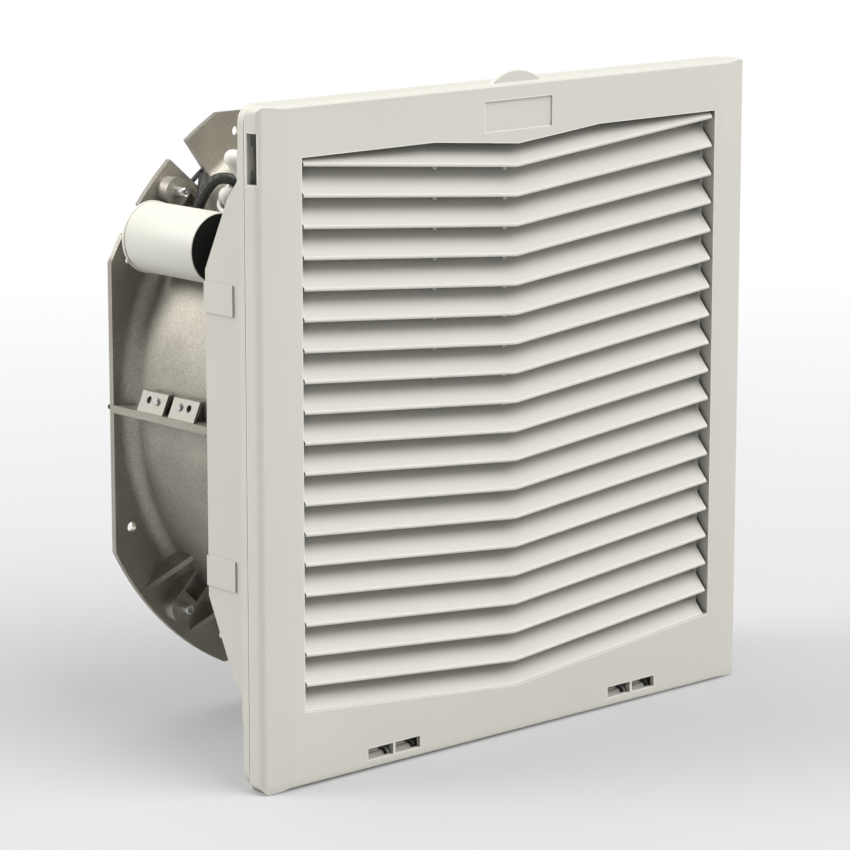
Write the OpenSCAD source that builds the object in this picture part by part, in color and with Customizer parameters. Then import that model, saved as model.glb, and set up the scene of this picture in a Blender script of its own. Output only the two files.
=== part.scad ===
// Enclosure filter fan for a square panel cut-out, in millimetres.
// X runs to the right, Y runs back into the enclosure and Z runs up.
// The origin is the centre of the cut-out, on the back face of the flange.

/* [Panel fit] */
// Outer width and height of the square front
frame_w = 323; // [310:1:340]
// Width of the flange outside the cut-out on each side
rim_w = 16; // [15:0.5:17]
// Gap between the spigot and the cut-out on each side
cutout_gap = 0.5; // [0.3:0.1:1.2]
// Greatest panel thickness that the latches hold
panel_t = 3; // [1.5:0.1:4]

/* [Mounting frame] */
// Thickness of the flange behind the cover
flange_t = 4.2; // [3.4:0.1:5]
// Corner radius of the flange
flange_corner_r = 8; // [4:0.5:12]
// How far the flange stops above the bottom edge of the cover
flange_rise = 1.6; // [1:0.1:2.4]
// Wall of the hood
hood_wall = 2.5; // [2:0.1:3]
// Depth of the hood from the flange back face to the fan
hood_depth = 46; // [44:0.5:50]
// Thickness of the rear plate of the hood
hood_plate_t = 2.6; // [2:0.1:3.2]
// Depth of the stepped corners of the hood
corner_depth = 22; // [21:0.5:24]
// Height of the raised pads beside the fan flange
pad_h = 1; // [0.6:0.1:1.4]
// Width of one raised pad
pad_w = 14.7; // [10:0.1:18]
// Distance from the middle to the centre of a raised pad
pad_place = 66; // [50:1:70]
// Length of a raised pad along the hood
pad_len = 21; // [14:0.5:24]

/* [Panel gasket] */
// Width of the gasket
gasket_w = 9; // [6:0.5:10]
// Thickness of the gasket when pressed to the panel
gasket_t = 2.2; // [1.4:0.1:2.6]
// Distance of the gasket from the edge of the frame
gasket_inset = 4; // [2:0.5:5]

/* [Cover] */
// Gap between the cover and the flange
cover_gap = 0.4; // [0.3:0.05:0.8]
// Distance from the panel to the side edges of the face
edge_y = 13.4; // [12.5:0.1:14.5]
// Distance from the panel to the raised middle of the face
face_y = 16.1; // [15.5:0.1:18]
// Width of the sloping margin on each side of the face
facet_w = 17.5; // [12:0.5:22]
// Wall of the cover
cover_wall = 2.4; // [2:0.1:2.8]
// Radius along the front edges
front_edge_r = 3.8; // [2:0.1:4.4]
// Radius of the four corners seen from the front
cover_corner_r = 5; // [3:0.5:7]
// Radius of the hinge bead along the bottom rear edge
bead_r = 3.6; // [3.2:0.1:4]
// Half width of the thumb tab on the top edge
tab_half_w = 16; // [12:0.5:20]
// Height of the thumb tab
tab_h = 5.2; // [3:0.1:7]
// Thickness of the thumb tab
tab_t = 1.9; // [1.4:0.1:2.6]
// Width of the plain name panel recess
plate_w = 44.6; // [30:0.1:60]
// Height of the plain name panel recess
plate_h = 14.6; // [10:0.1:16]
// Depth of the plain name panel recess
plate_d = 1; // [0.6:0.1:1.4]
// Distance from the top edge to the middle of the name panel
plate_drop = 15.6; // [13.5:0.1:17.5]
// Height of the release slot in each side of the cover
slot_h = 23.5; // [16:0.5:26]
// Width of the release slot
slot_w = 6.2; // [4:0.1:6.6]
// Distance from the top edge to the middle of the release slot
slot_drop = 24.1; // [20:0.1:36]

/* [Louvres] */
// Plain margin on each side of the louvre opening
opening_margin = 24.5; // [23:0.5:30]
// Plain margin above the ends of the louvre opening
top_margin = 24.9; // [24.1:0.1:26.5]
// Drop of the tongue in the middle of the top edge
tongue_drop = 5; // [3:0.1:8]
// Half width of the tongue
tongue_half_w = 55; // [40:1:70]
// Number of blades
louvre_count = 18; // [14:1:18]
// Drop from the top edge of the opening to the lip of the top blade
lip_drop = 2.2; // [2:0.1:4]
// Plain margin below the ends of the louvre opening
sill_rise = 36.7; // [34:0.1:40]
// Drop of each blade from its ends to the middle
louvre_drop = 12.6; // [6:0.1:14]
// Thickness of a blade
louvre_t = 1.8; // [1.2:0.1:2.4]
// Distance from the panel to the front lips
lip_y = 15.6; // [14.8:0.1:15.8]
// Depth of a blade from front to back
louvre_depth = 11.4; // [9:0.1:12]
// Height that a blade climbs from front to back
louvre_climb = 13.6; // [10:0.1:14]
// Gap between the front of a blade and the wall beside it
louvre_end_gap = 1.6; // [0.8:0.1:3]
// Wall around the opening
collar_wall = 2; // [1.4:0.1:2.4]
// Distance from the middle to the upright ribs behind the blades
rib_place = 46; // [30:1:80]
// Thickness of the upright ribs
rib_t = 2; // [1.4:0.1:3]

/* [Cover hinge] */
// Radius of the hinge pins
pin_r = 1.5; // [1:0.1:1.8]
// Running clearance around a hinge pin
pin_clear = 0.06; // [0.02:0.01:0.1]
// Outer radius of a hinge eye
eye_r = 3.1; // [2.6:0.1:3.2]
// Width of one hinge window
window_w = 16.1; // [13:0.1:18]
// Height of one hinge window
window_h = 5.6; // [4:0.1:6.5]
// Height of the bottom of the windows above the cover's bottom edge
window_rise = 5.3; // [5:0.1:6.2]
// Width of the web between two windows
window_web = 1.3; // [1:0.1:2]
// Distance from the middle to the centre of a window pair
window_place = 81; // [60:1:110]
// Gap on each side of a hinge eye in its window
eye_gap = 2; // [1:0.1:3]
// Number of thin ribs on a hinge clip
clip_ribs = 3; // [2:1:3]
// Thickness of a rib on a hinge clip
clip_rib_t = 0.7; // [0.5:0.1:1]

/* [Panel latches] */
// Width of one latch
latch_w = 16; // [12:0.5:20]
// Distance from the side of the hood to the centre of a latch
latch_margin = 22; // [20:0.5:26]
// Thickness of the latch arm
latch_t = 1.9; // [1.5:0.1:2.2]
// How far the latch nose stands out of the hood
latch_nose = 3.5; // [2.5:0.1:4]
// Length of the nose ramp
latch_ramp = 11; // [8:0.5:12]
// Distance from the panel to the latch pins
latch_pin_y = 18.4; // [18:0.1:19]
// Radius of a latch pin
latch_pin_r = 0.8; // [0.6:0.1:1]
// Outer radius of the latch knuckle
latch_knuckle_r = 1.7; // [1.5:0.1:1.8]
// Gap around a latch in its pocket
latch_gap = 0.6; // [0.4:0.1:0.9]

/* [Filter mat and grid] */
// Gap between the mat and the hood wall on each side
mat_margin = 4; // [3:0.5:7]
// Thickness of the filter mat
mat_t = 16.5; // [12:0.5:17]
// Gap between the mat and its neighbours
mat_gap = 0.3; // [0.3:0.05:0.6]
// Gap between the support grid and the hood wall on each side
grid_margin = 2.5; // [2:0.25:4]
// Thickness of the support grid
grid_t = 3.6; // [2.6:0.1:4.2]
// Width of one bar of the grid
grid_bar = 2; // [1.6:0.1:3]
// Number of grid cells across and up
grid_cells = 12; // [8:1:14]

/* [Fan casting] */
// Distance from the cut-out edge to the side of the fan flanges
fan_margin = 5.5; // [4.5:0.25:6.5]
// Depth of the fan over both flanges
fan_depth = 80; // [76:0.5:84]
// Width of flange outside the bosses at the four round corners
corner_rim = 2.5; // [1.5:0.1:3.5]
// Thickness of the fan flanges
fan_flange_t = 3; // [2.4:0.1:3.6]
// Distance from the sides of the flanges to the duct
duct_margin = 13; // [12:0.25:14]
// Wall of the duct
duct_wall = 3; // [2.4:0.1:3.4]
// Flat flange left between the rear flare of the duct and the side
flare_rim = 2; // [1.5:0.1:4]
// Radius of the fixing holes in the flanges
fixing_r = 2.6; // [2:0.1:3]
// Distance from the duct wall to the first ring of small fixing holes
fixing_out_a = 13.5; // [12.5:0.25:14]
// Distance from the duct wall to the second ring of small fixing holes
fixing_out_b = 15; // [14.75:0.25:16]
// Distance from the duct wall to the four main screws
screw_out = 18; // [17:0.25:19]
// Radius of the boss around a main screw
boss_r = 7; // [6:0.1:7.5]
// Height of the boss around a main screw
boss_h = 8; // [5:0.5:10]
// Thickness of a gusset
gusset_t = 3; // [2:0.1:4]
// Height of a gusset at the duct
gusset_h = 17; // [12:0.5:24]
// Distance of a gusset from the corner diagonal
gusset_place = 19; // [16:0.5:22]
// Thickness of the web in the middle of each side
web_t = 3.8; // [3:0.1:5]

/* [Cable saddles] */
// Length of a cable saddle
saddle_len = 19.5; // [14:0.5:20]
// Height of a cable saddle
saddle_h = 9.6; // [7:0.1:12]
// Thickness of the saddle sheet
saddle_t = 1.6; // [1:0.1:2]
// Gap between the two saddles
saddle_gap = 4.5; // [3:0.5:6]
// Distance from the front flange to the first saddle
saddle_start = 13; // [8:0.5:16]
// Radius of the holes in a saddle
saddle_hole_r = 1.7; // [1:0.1:2]

/* [Motor and impeller] */
// Gap between the impeller blades and the duct
tip_gap = 2.2; // [1.8:0.1:4]
// Number of impeller blades
impeller_blades = 7; // [5:1:9]
// Thickness of the impeller blades
impeller_blade_t = 1.6; // [1.2:0.1:2.4]
// Chord of an impeller blade
impeller_chord = 72; // [56:1:76]
// Pitch of an impeller blade against the fan face
impeller_pitch_angle = 27; // [20:1:32]
// Radius of the bend across an impeller blade
impeller_camber_r = 110; // [90:1:160]
// Outer radius of the rotor cup
rotor_r = 46; // [44:0.5:50]
// Wall of the rotor cup
rotor_wall = 2.5; // [2:0.1:3.5]
// Length of the rotor cup
rotor_len = 56; // [50:0.5:60]
// Thickness of the carrier band between the cup and the blades
carrier_t = 1.6; // [1.2:0.1:2.4]
// Length of the carrier band
carrier_len = 44; // [40:1:50]
// Radial thickness of the rotor cage ring
cage_t = 7; // [5:0.25:9]
// Air gap between rotor and stator
air_gap = 0.35; // [0.3:0.05:0.6]
// Length of the laminated core
core_len = 32; // [20:1:34]
// Radius of the motor shaft
shaft_r = 4; // [3:0.25:5]
// Outer radius of the ball bearings
bearing_r = 11; // [10:0.25:12]
// Width of a ball bearing
bearing_w = 7; // [6:0.25:9]
// Wall of the bearing tube
tube_wall = 3; // [2.4:0.1:4]
// Radius of the motor mounting disc
motor_disc_r = 40; // [36:0.5:42]
// Thickness of the motor mounting disc
motor_disc_t = 5; // [4:0.1:6]
// Distance from the axis to the motor screws
motor_screw_place = 27; // [22:0.5:28]
// Radius of a motor screw
motor_screw_r = 2; // [1.5:0.1:2.5]

/* [Rear guard] */
// How far the outermost guard ring lies outside the duct radius
guard_over = 10; // [9:0.25:11]
// Thickness of the guard wire
guard_wire = 2.4; // [2:0.1:3]
// Number of guard rings
guard_rings = 7; // [5:1:8]
// Number of radial guard wires
guard_spokes = 8; // [4:4:12]
// Radius of the plate in the middle of the guard
guard_plate_r = 44; // [42:0.5:48]
// Thickness of the middle plate and the corner tabs of the guard
guard_plate_t = 2.4; // [2:0.1:3]

/* [Screws] */
// Radius of a main screw shank
screw_r = 2.4; // [2:0.1:2.5]
// Radius of a main screw head
screw_head_r = 4.2; // [3.6:0.1:4.6]
// Height of a main screw head
screw_head_h = 3.6; // [2.6:0.1:4.2]
// How far a rear screw stands out of its boss towards the front
screw_end = 6; // [4:0.5:8]

/* [Capacitor] */
// Radius of the capacitor can
cap_r = 17.25; // [15:0.25:17.5]
// Gap between the duct and the capacitor can
cap_gap = 2.05; // [1.5:0.05:3]
// Length of the capacitor can
cap_len = 51; // [42:0.5:52]
// Distance of the capacitor axis from the diagonal through the corner screw
cap_side = 27.21; // [26.5:0.1:28.5]
// Gap between the rear flange and the capacitor foot
cap_rear_gap = 11; // [9:0.5:12]
// Depth of the sealed black end of the capacitor
cap_seal_d = 6; // [3:0.5:10]
// Radius of the capacitor stud
stud_r = 3.9; // [3:0.1:4]
// Thickness of the insulating washer under the capacitor
washer_t = 1.2; // [0.8:0.1:2]
// Thickness of the capacitor bracket
bracket_t = 1.8; // [1.5:0.1:2.4]

/* [Leads] */
// Outer radius of the lead sleeve
sleeve_r = 2.8; // [2.2:0.1:3]
// Outer radius of one capacitor lead
lead_r = 1.2; // [0.8:0.1:1.4]
// Outer radius of the cup that holds the lead joints
cup_r = 13.5; // [11:0.25:14]
// Height of the cup above the duct
cup_h = 13; // [10:0.5:15]
// Wall of the cup
cup_wall = 1.9; // [1.4:0.1:2.4]
// Angle of the cup around the fan axis
cup_angle = 131.5; // [130:0.5:133]
// Distance from the front flange to the axis of the cup
cup_place = 30; // [26:0.5:34]

/* [Hidden] */
$fn = 96;

// Overrun of every cut
over = 1;
// Gap between a moving latch or a loose insert and what holds it
fit = 0.3;
// Angle of the corner diagonals
diagonals = [45, 135, 225, 315];
sides = [0, 90, 180, 270];

// Mounting frame
half_w = frame_w / 2;
cutout_w = frame_w - 2 * rim_w;
hood_half = cutout_w / 2 - cutout_gap - pad_h;
hood_in = hood_half - hood_wall;
hood_corner_r = 10;
// Outward run of the slanted hood corners for each unit of depth
corner_run_share = 1.47;
slant_share = sqrt(1 + corner_run_share * corner_run_share);
step_y = 29;
step_run = 6;
fan_front = hood_depth;
frame_boss_r = 5;
frame_boss_len = 14;

// Mat and grid, stacked forward from the corner floors of the hood
mat_w = 2 * (hood_in - mat_margin);
grid_w = 2 * (hood_in - grid_margin);
floor_y = corner_depth - hood_wall;
grid_seat = 0.2;
grid_back = floor_y - grid_seat;
grid_front = grid_back - grid_t;
mat_back = grid_front - mat_gap;
mat_front = mat_back - mat_t;

// Cover
cover_back = flange_t + cover_gap;
cover_bottom = -half_w;
facet_angle = atan((face_y - edge_y) / facet_w);
bottom_edge_r = 3;
collar_back = 3.6;
plate_z = half_w - plate_drop;
slot_z = half_w - slot_drop;

// Cover hinge
hinge_y = -(cover_back + bead_r);
hinge_z = cover_bottom + bead_r;
notch_clear = 0.6;
notch_r = cover_gap + bead_r + notch_clear;
window_z = cover_bottom + window_rise;
window_step = window_w + window_web;
pair_w = 2 * window_w + window_web;
pin_hold = 5;
eye_w = window_w - 2 * eye_gap;
foot_t = 1.4;
foot_drop = 1.2;
clip_rib_y = 11;
clip_rib_w_share = 0.7;

// Catch tongues of the frame behind the release slots
catch_w = 11;
catch_t = 1.6;
catch_len = 1.9;

// Louvres
opening_half = half_w - opening_margin;
opening_top = half_w - top_margin;
opening_low = cover_bottom + sill_rise;
louvre_top = opening_top - lip_drop;
louvre_angle = atan(louvre_drop / opening_half);
lip_r = louvre_t / 2;
// The sill is the lip of one more blade
louvre_pitch = (louvre_top + lip_r - opening_low) / louvre_count;
rib_depth = 3;
// The blade bends at this share of its depth and of its climb
bend_depth_share = 0.62;
bend_climb_share = 0.48;
end_depth_share = 0.7;

// Latches
latch_x = hood_half - hood_wall / 2;
latch_place = hood_half - latch_margin;
latch_front = panel_t + fit;
nose_slope = 0.8;
latch_pin_hold = 3;
latch_room = 3.6;

// Fan
fan_back = fan_front + fan_depth;
rear_face = fan_back - fan_flange_t;
fan_w = cutout_w - 2 * fan_margin;
fan_half = fan_w / 2;
duct_r = fan_half - duct_margin;
duct_out = duct_r + duct_wall;
duct_mid = duct_r + duct_wall / 2;
flare_r = duct_margin - duct_wall - flare_rim;
flare_place = duct_out + flare_r;
screw_place = duct_out + screw_out;
fan_round_r = screw_place + boss_r + corner_rim;
step_d = fan_round_r + corner_run_share * (hood_depth - step_y);
// Angle and place of each small fixing hole in a quarter
fixing_holes = [[25, duct_out + fixing_out_a], [60, duct_out + fixing_out_b]];
// Depth of the two gaps in the rear flange, where the flare is cut too
gap_depth = 7.2;
// Outlines of the two gaps beside the top left corner.
// Each row holds an angle and a share of the way from the duct to the round corner.
slot_shares = [[125.5, -0.16], [125.81, 1.394], [131.24, 1.395], [128.4, -0.16]];
ear_shares = [[141.68, 0.58], [140.47, 1.374], [145.94, 1.506], [148.92, 1.302], [143.57, 0.515]];
boss_wall = 2.2;
gusset_tip = 6;
earth_angle = 33;
earth_out = 17.5;
earth_r = 2;
earth_head_r = 4.6;
earth_head_h = 2.6;

// Saddles on the left web
saddle_inset = 0.6;
saddle_foot_gap = 0.5;
saddle_out = fan_half - saddle_inset;
saddle_in = duct_out + saddle_foot_gap;
saddle_lean_share = 0.494;
saddle_ridge_share = 0.337;
saddle_lean = (saddle_out - saddle_in) * saddle_lean_share;
saddle_ridge = (saddle_out - saddle_in) * saddle_ridge_share;
saddle_hole_z = 5.8;
saddle_hole_place = 6.5;

// Motor
disc_front = fan_back - motor_disc_t;
rotor_run = 4;
rotor_back = disc_front - rotor_run;
rotor_front = rotor_back - rotor_len;
winding_t = 6;
winding_inset = 3;
winding_gap = 1.8;
core_back = rotor_back - winding_t - winding_gap;
core_front = core_back - core_len;
core_r = rotor_r - rotor_wall - cage_t - air_gap;
tube_r = bearing_r + tube_wall;
hub_r = 8;
hub_len = 3;
bearing_gap = 1.2;
bearing_front_y = rotor_front + rotor_wall + hub_len + bearing_gap;
bearing_rear_y = rotor_back - bearing_w;
shaft_clear = 0.02;
lead_notch_depth = 7;
motor_head_r = 3.6;
carrier_out = rotor_r + carrier_t;
carrier_y = (rotor_front + rotor_back) / 2;
half_chord = impeller_chord / 2;
impeller_r = duct_r - tip_gap;
camber_h = impeller_camber_r - sqrt(impeller_camber_r * impeller_camber_r - half_chord * half_chord);

// Guard
guard_r = duct_r + guard_over;
guard_back = fan_back + guard_wire;
weld = 0.4;
guard_step = (guard_r - guard_plate_r) / guard_rings;
tab_w = 12;
tab_end = 6;

// Capacitor
cap_place = duct_out + cap_gap + cap_r;
cap_angle = diagonals[1] + asin(cap_side / cap_place);
cap_x = cap_place * cos(cap_angle);
cap_z = cap_place * sin(cap_angle);
cap_back = rear_face - cap_rear_gap;
cap_front = cap_back - cap_len;
cap_rim = 0.7;
cap_seal_gap = 0.5;
washer_out = 0.5;
nub_r = 1.3;
nub_angle = 215;
plate_y = cap_back + washer_t;
bracket_left = 8;
bracket_right = 15;
bracket_up = 12;
bracket_down = 8;
foot_w = 6.5;
foot_h = 6;
// Screw in the middle of the bracket foot, driven from the rear of the flange
foot_screw_r = 1.5;
foot_head_r = 2.8;
foot_hole_x = cap_x + bracket_right - foot_w / 2 - bracket_t / 2;
foot_hole_z = cap_z + bracket_up - foot_h / 2;
nut_r = 7.5;
nut_t = 5;
stud_len = 9;

// Lead cup, on the duct beside the capacitor
cup_y = fan_front + fan_flange_t + cup_place;
cup_floor = 2;
cup_end = duct_out + cup_h;
splice_r = 4.2;
splice_len = 17;
splice_long = 34;
// Crimp caps: places along Y and towards the capacitor as shares of the cup radius, length
splices = [[0.341, 0.326, splice_len], [-0.333, -0.407, splice_long]];
seat_gap = 0.05;
lead_angle = 127;
// Holes in the capacitor seal in X and Z from its axis, as shares of its radius
hole_shares = [[0.348, 0.081], [0.145, -0.122]];

// Hand chosen points of the motor lead: angle, radius share and depth share
motor_route_shares = [
  [lead_angle, -0.06667, 0.9298], [lead_angle, 0.1111, 0.9298], [lead_angle, 0.3889, 0.9298],
  [lead_angle, 0.6667, 0.9298], [lead_angle, 0.8889, 0.9277], [lead_angle, 1, 0.9234],
  [127.3, 1.067, 0.9], [128.2, 1.102, 0.8191], [130.1, 1.109, 0.7234],
  [132.7, 1.104, 0.6426], [135.3, 1.109, 0.566], [136.5, 1.131, 0.4851],
  [135.6, 1.167, 0.4128], [133.6, 1.202, 0.3489], [131.6, 1.224, 0.2638],
  [130.4, 1.207, 0.166], [129.7, 1.15, 0.1064], [129.65, 1.067, 0.09574]
];
// The two capacitor leads: depth shares inside the seal, then rows of angle, radius share,
// share of the way to the cup and depth share
seal_shares = [[0.1159, -0.2029], [0.1159, -0.3188]];
cap_route_shares = [
  [
    [141, 0.9855, 0, -0.3768], [138.7, 1.09, 0.2, -0.4116], [137, 1.148, 0.45, -0.3246],
    [135.8, 1.136, 0.75, -0.2725], [134.8, 0.9623, 1, -0.2551], [134.4, 0.3478, 1, -0.1623]
  ],
  [
    [142.5, 1.072, 0, -0.5507], [138.5, 1.275, 0.2, -0.6145], [136, 1.333, 0.45, -0.4986],
    [134, 1.264, 0.75, -0.4928], [132, 0.8464, 1, -0.5449], [132, 0.3478, 1, -0.5101]
  ]
];

// Shape drawn in X and Z, filled from depth y0 to depth y1
module along_y(y0, y1) {
  translate([0, y1, 0]) rotate([90, 0, 0]) linear_extrude(y1 - y0) children();
}

// Shape drawn in Y and Z, filled from x0 to x1
module along_x(x0, x1) {
  translate([x0, 0, 0]) rotate([90, 0, 90]) linear_extrude(x1 - x0) children();
}

// Square with round corners
module round_square(w, h, r) {
  square([w - 2 * r, h], center = true);
  square([w, h - 2 * r], center = true);
  for (sx = [-1, 1], sz = [-1, 1])
    translate([sx * (w / 2 - r), sz * (h / 2 - r)]) circle(r);
}

// Round bar along Y
module rod(r, y0, y1) {
  translate([0, y0, 0]) rotate([-90, 0, 0]) cylinder(r = r, h = y1 - y0);
}

// Round bar along X
module bar(r, x0, x1) {
  translate([x0, 0, 0]) rotate([0, 90, 0]) cylinder(r = r, h = x1 - x0);
}

// Tube along Y
module tube(r_out, r_in, y0, y1) {
  difference() {
    rod(r_out, y0, y1);
    rod(r_in, y0 - over, y1 + over);
  }
}

// Places on the four corner diagonals of the fan
module on_corners(d) {
  for (a = diagonals) rotate([0, a, 0]) translate([d, 0, 0]) children();
}

// Wedge that slants the hood corners, moved in by one wall for the cavity
module corner_wedges(wall) {
  start_d = fan_round_r - wall * slant_share;
  end_d = step_d - wall;
  end_y = hood_depth - (end_d - start_d) / corner_run_share;
  low_y = corner_depth - wall;
  far_d = 2 * half_w;
  for (a = diagonals) rotate([0, a, 0])
    translate([0, 0, -half_w]) linear_extrude(frame_w)
      polygon([
        [start_d - corner_run_share * over, hood_depth + over], [end_d, end_y],
        [end_d + step_run, low_y], [far_d, low_y], [far_d, hood_depth + over]
      ]);
}

// Pocket for one latch, through the side wall of the hood
module latch_pocket(sx, sz) {
  low = latch_front - latch_gap - fit;
  high = latch_pin_y + latch_knuckle_r + latch_gap;
  x_in = latch_x - latch_room;
  h = latch_w + 2 * latch_gap;
  translate([sx > 0 ? x_in : -hood_half - over, low, sz * latch_place - h / 2])
    cube([hood_half + over - x_in, high - low, h]);
}

module latch_pin(sx, sz, r) {
  h = latch_w + 2 * latch_gap + 2 * latch_pin_hold;
  translate([sx * latch_x, latch_pin_y, sz * latch_place - h / 2]) cylinder(r = r, h = h);
}

module hood_pads() {
  for (a = sides, s = [-1, 1]) rotate([0, a, 0])
    translate([hood_half - over, hood_depth - pad_len, s * pad_place - pad_w / 2])
      cube([pad_h + over, pad_len, pad_w]);
}

// Flange and hood in one moulding
module mounting_frame() {
  color("#d9d8d0") difference() {
    union() {
      difference() {
        union() {
          along_y(-flange_t, 0) translate([0, flange_rise / 2])
            round_square(frame_w, frame_w - flange_rise, flange_corner_r);
          difference() {
            along_y(-over, hood_depth) round_square(2 * hood_half, 2 * hood_half, hood_corner_r);
            corner_wedges(0);
          }
          hood_pads();
        }
        difference() {
          along_y(-flange_t - over, hood_depth - hood_plate_t)
            round_square(2 * hood_in, 2 * hood_in, hood_corner_r - hood_wall);
          corner_wedges(hood_wall);
        }
      }
      on_corners(screw_place) rod(frame_boss_r, hood_depth - frame_boss_len, hood_depth);
      for (s = [0, 1]) mirror([s, 0, 0])
        translate([half_w - cover_wall - fit - catch_t, -flange_t - catch_len, slot_z - catch_w / 2])
          cube([catch_t, catch_len + flange_t / 2, catch_w]);
    }
    rod(duct_r, hood_depth - hood_plate_t - over, hood_depth + over);
    gasket_ring(gasket_t, over);
    for (sx = [-1, 1], sz = [-1, 1]) {
      latch_pocket(sx, sz);
      latch_pin(sx, sz, latch_pin_r);
    }
    on_corners(screw_place) rod(screw_r, hood_depth - frame_boss_len - over, hood_depth + over);
  }
}

module gasket_ring(depth, past) {
  w_out = frame_w - 2 * gasket_inset;
  w_in = w_out - 2 * gasket_w;
  along_y(-depth, past) difference() {
    round_square(w_out, w_out, flange_corner_r - gasket_inset / 2);
    square([w_in, w_in], center = true);
  }
}

// Foam gasket in its groove, level with the back face
module panel_gasket() {
  color("#3a3b3c") gasket_ring(gasket_t, 0);
}

// Open grid that carries the mat on the corner floors of the hood
module mat_grid() {
  cell = (grid_w - grid_bar) / grid_cells;
  hole = cell - grid_bar;
  first = -grid_w / 2 + grid_bar + hole / 2;
  color("#cfcec6") along_y(grid_front, grid_back) difference() {
    square([grid_w, grid_w], center = true);
    for (i = [0 : grid_cells - 1], j = [0 : grid_cells - 1])
      translate([first + i * cell, first + j * cell]) square([hole, hole], center = true);
  }
}

module filter_mat() {
  color("#e8e8e2") along_y(mat_front, mat_back) square([mat_w, mat_w], center = true);
}

// Plan outline of the cover: sides, sloping margins and raised middle
module cover_plan(wall) {
  x_side = half_w - wall;
  x_mid = half_w - facet_w;
  y_edge = -edge_y + wall;
  y_mid = -face_y + wall;
  r = wall > 0 ? over : front_edge_r;
  c_x = x_side - r;
  c_y = y_edge - r * tan(facet_angle) + r / cos(facet_angle);
  t_x = c_x + r * sin(facet_angle);
  t_y = c_y - r * cos(facet_angle);
  back = wall > 0 ? over : -cover_back;
  polygon([
    [-x_side, back], [-x_side, c_y], [-t_x, t_y], [-x_mid, y_mid],
    [x_mid, y_mid], [t_x, t_y], [x_side, c_y], [x_side, back]
  ]);
  for (s = [-1, 1]) translate([s * c_x, c_y]) circle(r);
}

// Side outline of the cover with its round edges and hinge bead
module cover_side() {
  f = -face_y;
  b = -cover_back;
  polygon([
    [b, half_w], [b, hinge_z], [hinge_y, cover_bottom], [f + bottom_edge_r, cover_bottom],
    [f, cover_bottom + bottom_edge_r], [f, half_w - front_edge_r], [f + front_edge_r, half_w]
  ]);
  translate([hinge_y, hinge_z]) circle(bead_r);
  translate([f + bottom_edge_r, cover_bottom + bottom_edge_r]) circle(bottom_edge_r);
  translate([f + front_edge_r, half_w - front_edge_r]) circle(front_edge_r);
}

// Outline of the louvre opening, grown for the collar around it
module opening_outline(grow) {
  w = opening_half + grow;
  polygon([
    [-w, opening_top + grow], [-tongue_half_w, opening_top + grow],
    [0, opening_top + grow - tongue_drop], [tongue_half_w, opening_top + grow],
    [w, opening_top + grow], [w, opening_low - grow],
    [0, opening_low - louvre_drop - grow], [-w, opening_low - grow]
  ]);
}

// Section of one blade, from the round front lip up to the rear edge
module blade_section() {
  bend_y = louvre_depth * bend_depth_share;
  bend_z = louvre_climb * bend_climb_share;
  polygon([
    [-lip_y + lip_r, -lip_r], [-lip_y + bend_y + lip_r, bend_z - lip_r],
    [-lip_y + louvre_depth, louvre_climb - louvre_t], [-lip_y + louvre_depth, louvre_climb],
    [-lip_y + louvre_depth - lip_r, louvre_climb], [-lip_y + bend_y - lip_r, bend_z + lip_r],
    [-lip_y + lip_r / 2, lip_r]
  ]);
  translate([-lip_y + lip_r, 0]) circle(lip_r, $fn = 24);
}

// One chevron blade whose ends meet the collar only behind the lip
module blade(z_end) {
  len = opening_half / cos(louvre_angle) + collar_wall;
  difference() {
    for (s = [0, 1]) mirror([s, 0, 0]) translate([0, 0, z_end - louvre_drop - lip_r])
      intersection() {
        rotate([0, -louvre_angle, 0]) along_x(-louvre_pitch, len) blade_section();
        translate([0, -face_y, -half_w])
          cube([opening_half + collar_wall / 2, face_y, frame_w]);
      }
    for (s = [-1, 1])
      translate([s * opening_half - (s + 1) / 2 * louvre_end_gap, -face_y - over, z_end - half_w])
        cube([louvre_end_gap, face_y + over - lip_y + louvre_depth * end_depth_share, frame_w]);
  }
}

// Thin raised half moon on the top edge, for a thumb
module thumb_tab() {
  tab_r = (tab_half_w * tab_half_w + tab_h * tab_h) / (2 * tab_h);
  tab_front = -face_y + front_edge_r - tab_t;
  intersection() {
    translate([0, 0, half_w + tab_h - tab_r]) rod(tab_r, tab_front, tab_front + tab_t);
    translate([-half_w, -face_y, half_w - front_edge_r]) cube([frame_w, face_y, 2 * tab_h + front_edge_r]);
  }
}

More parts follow.
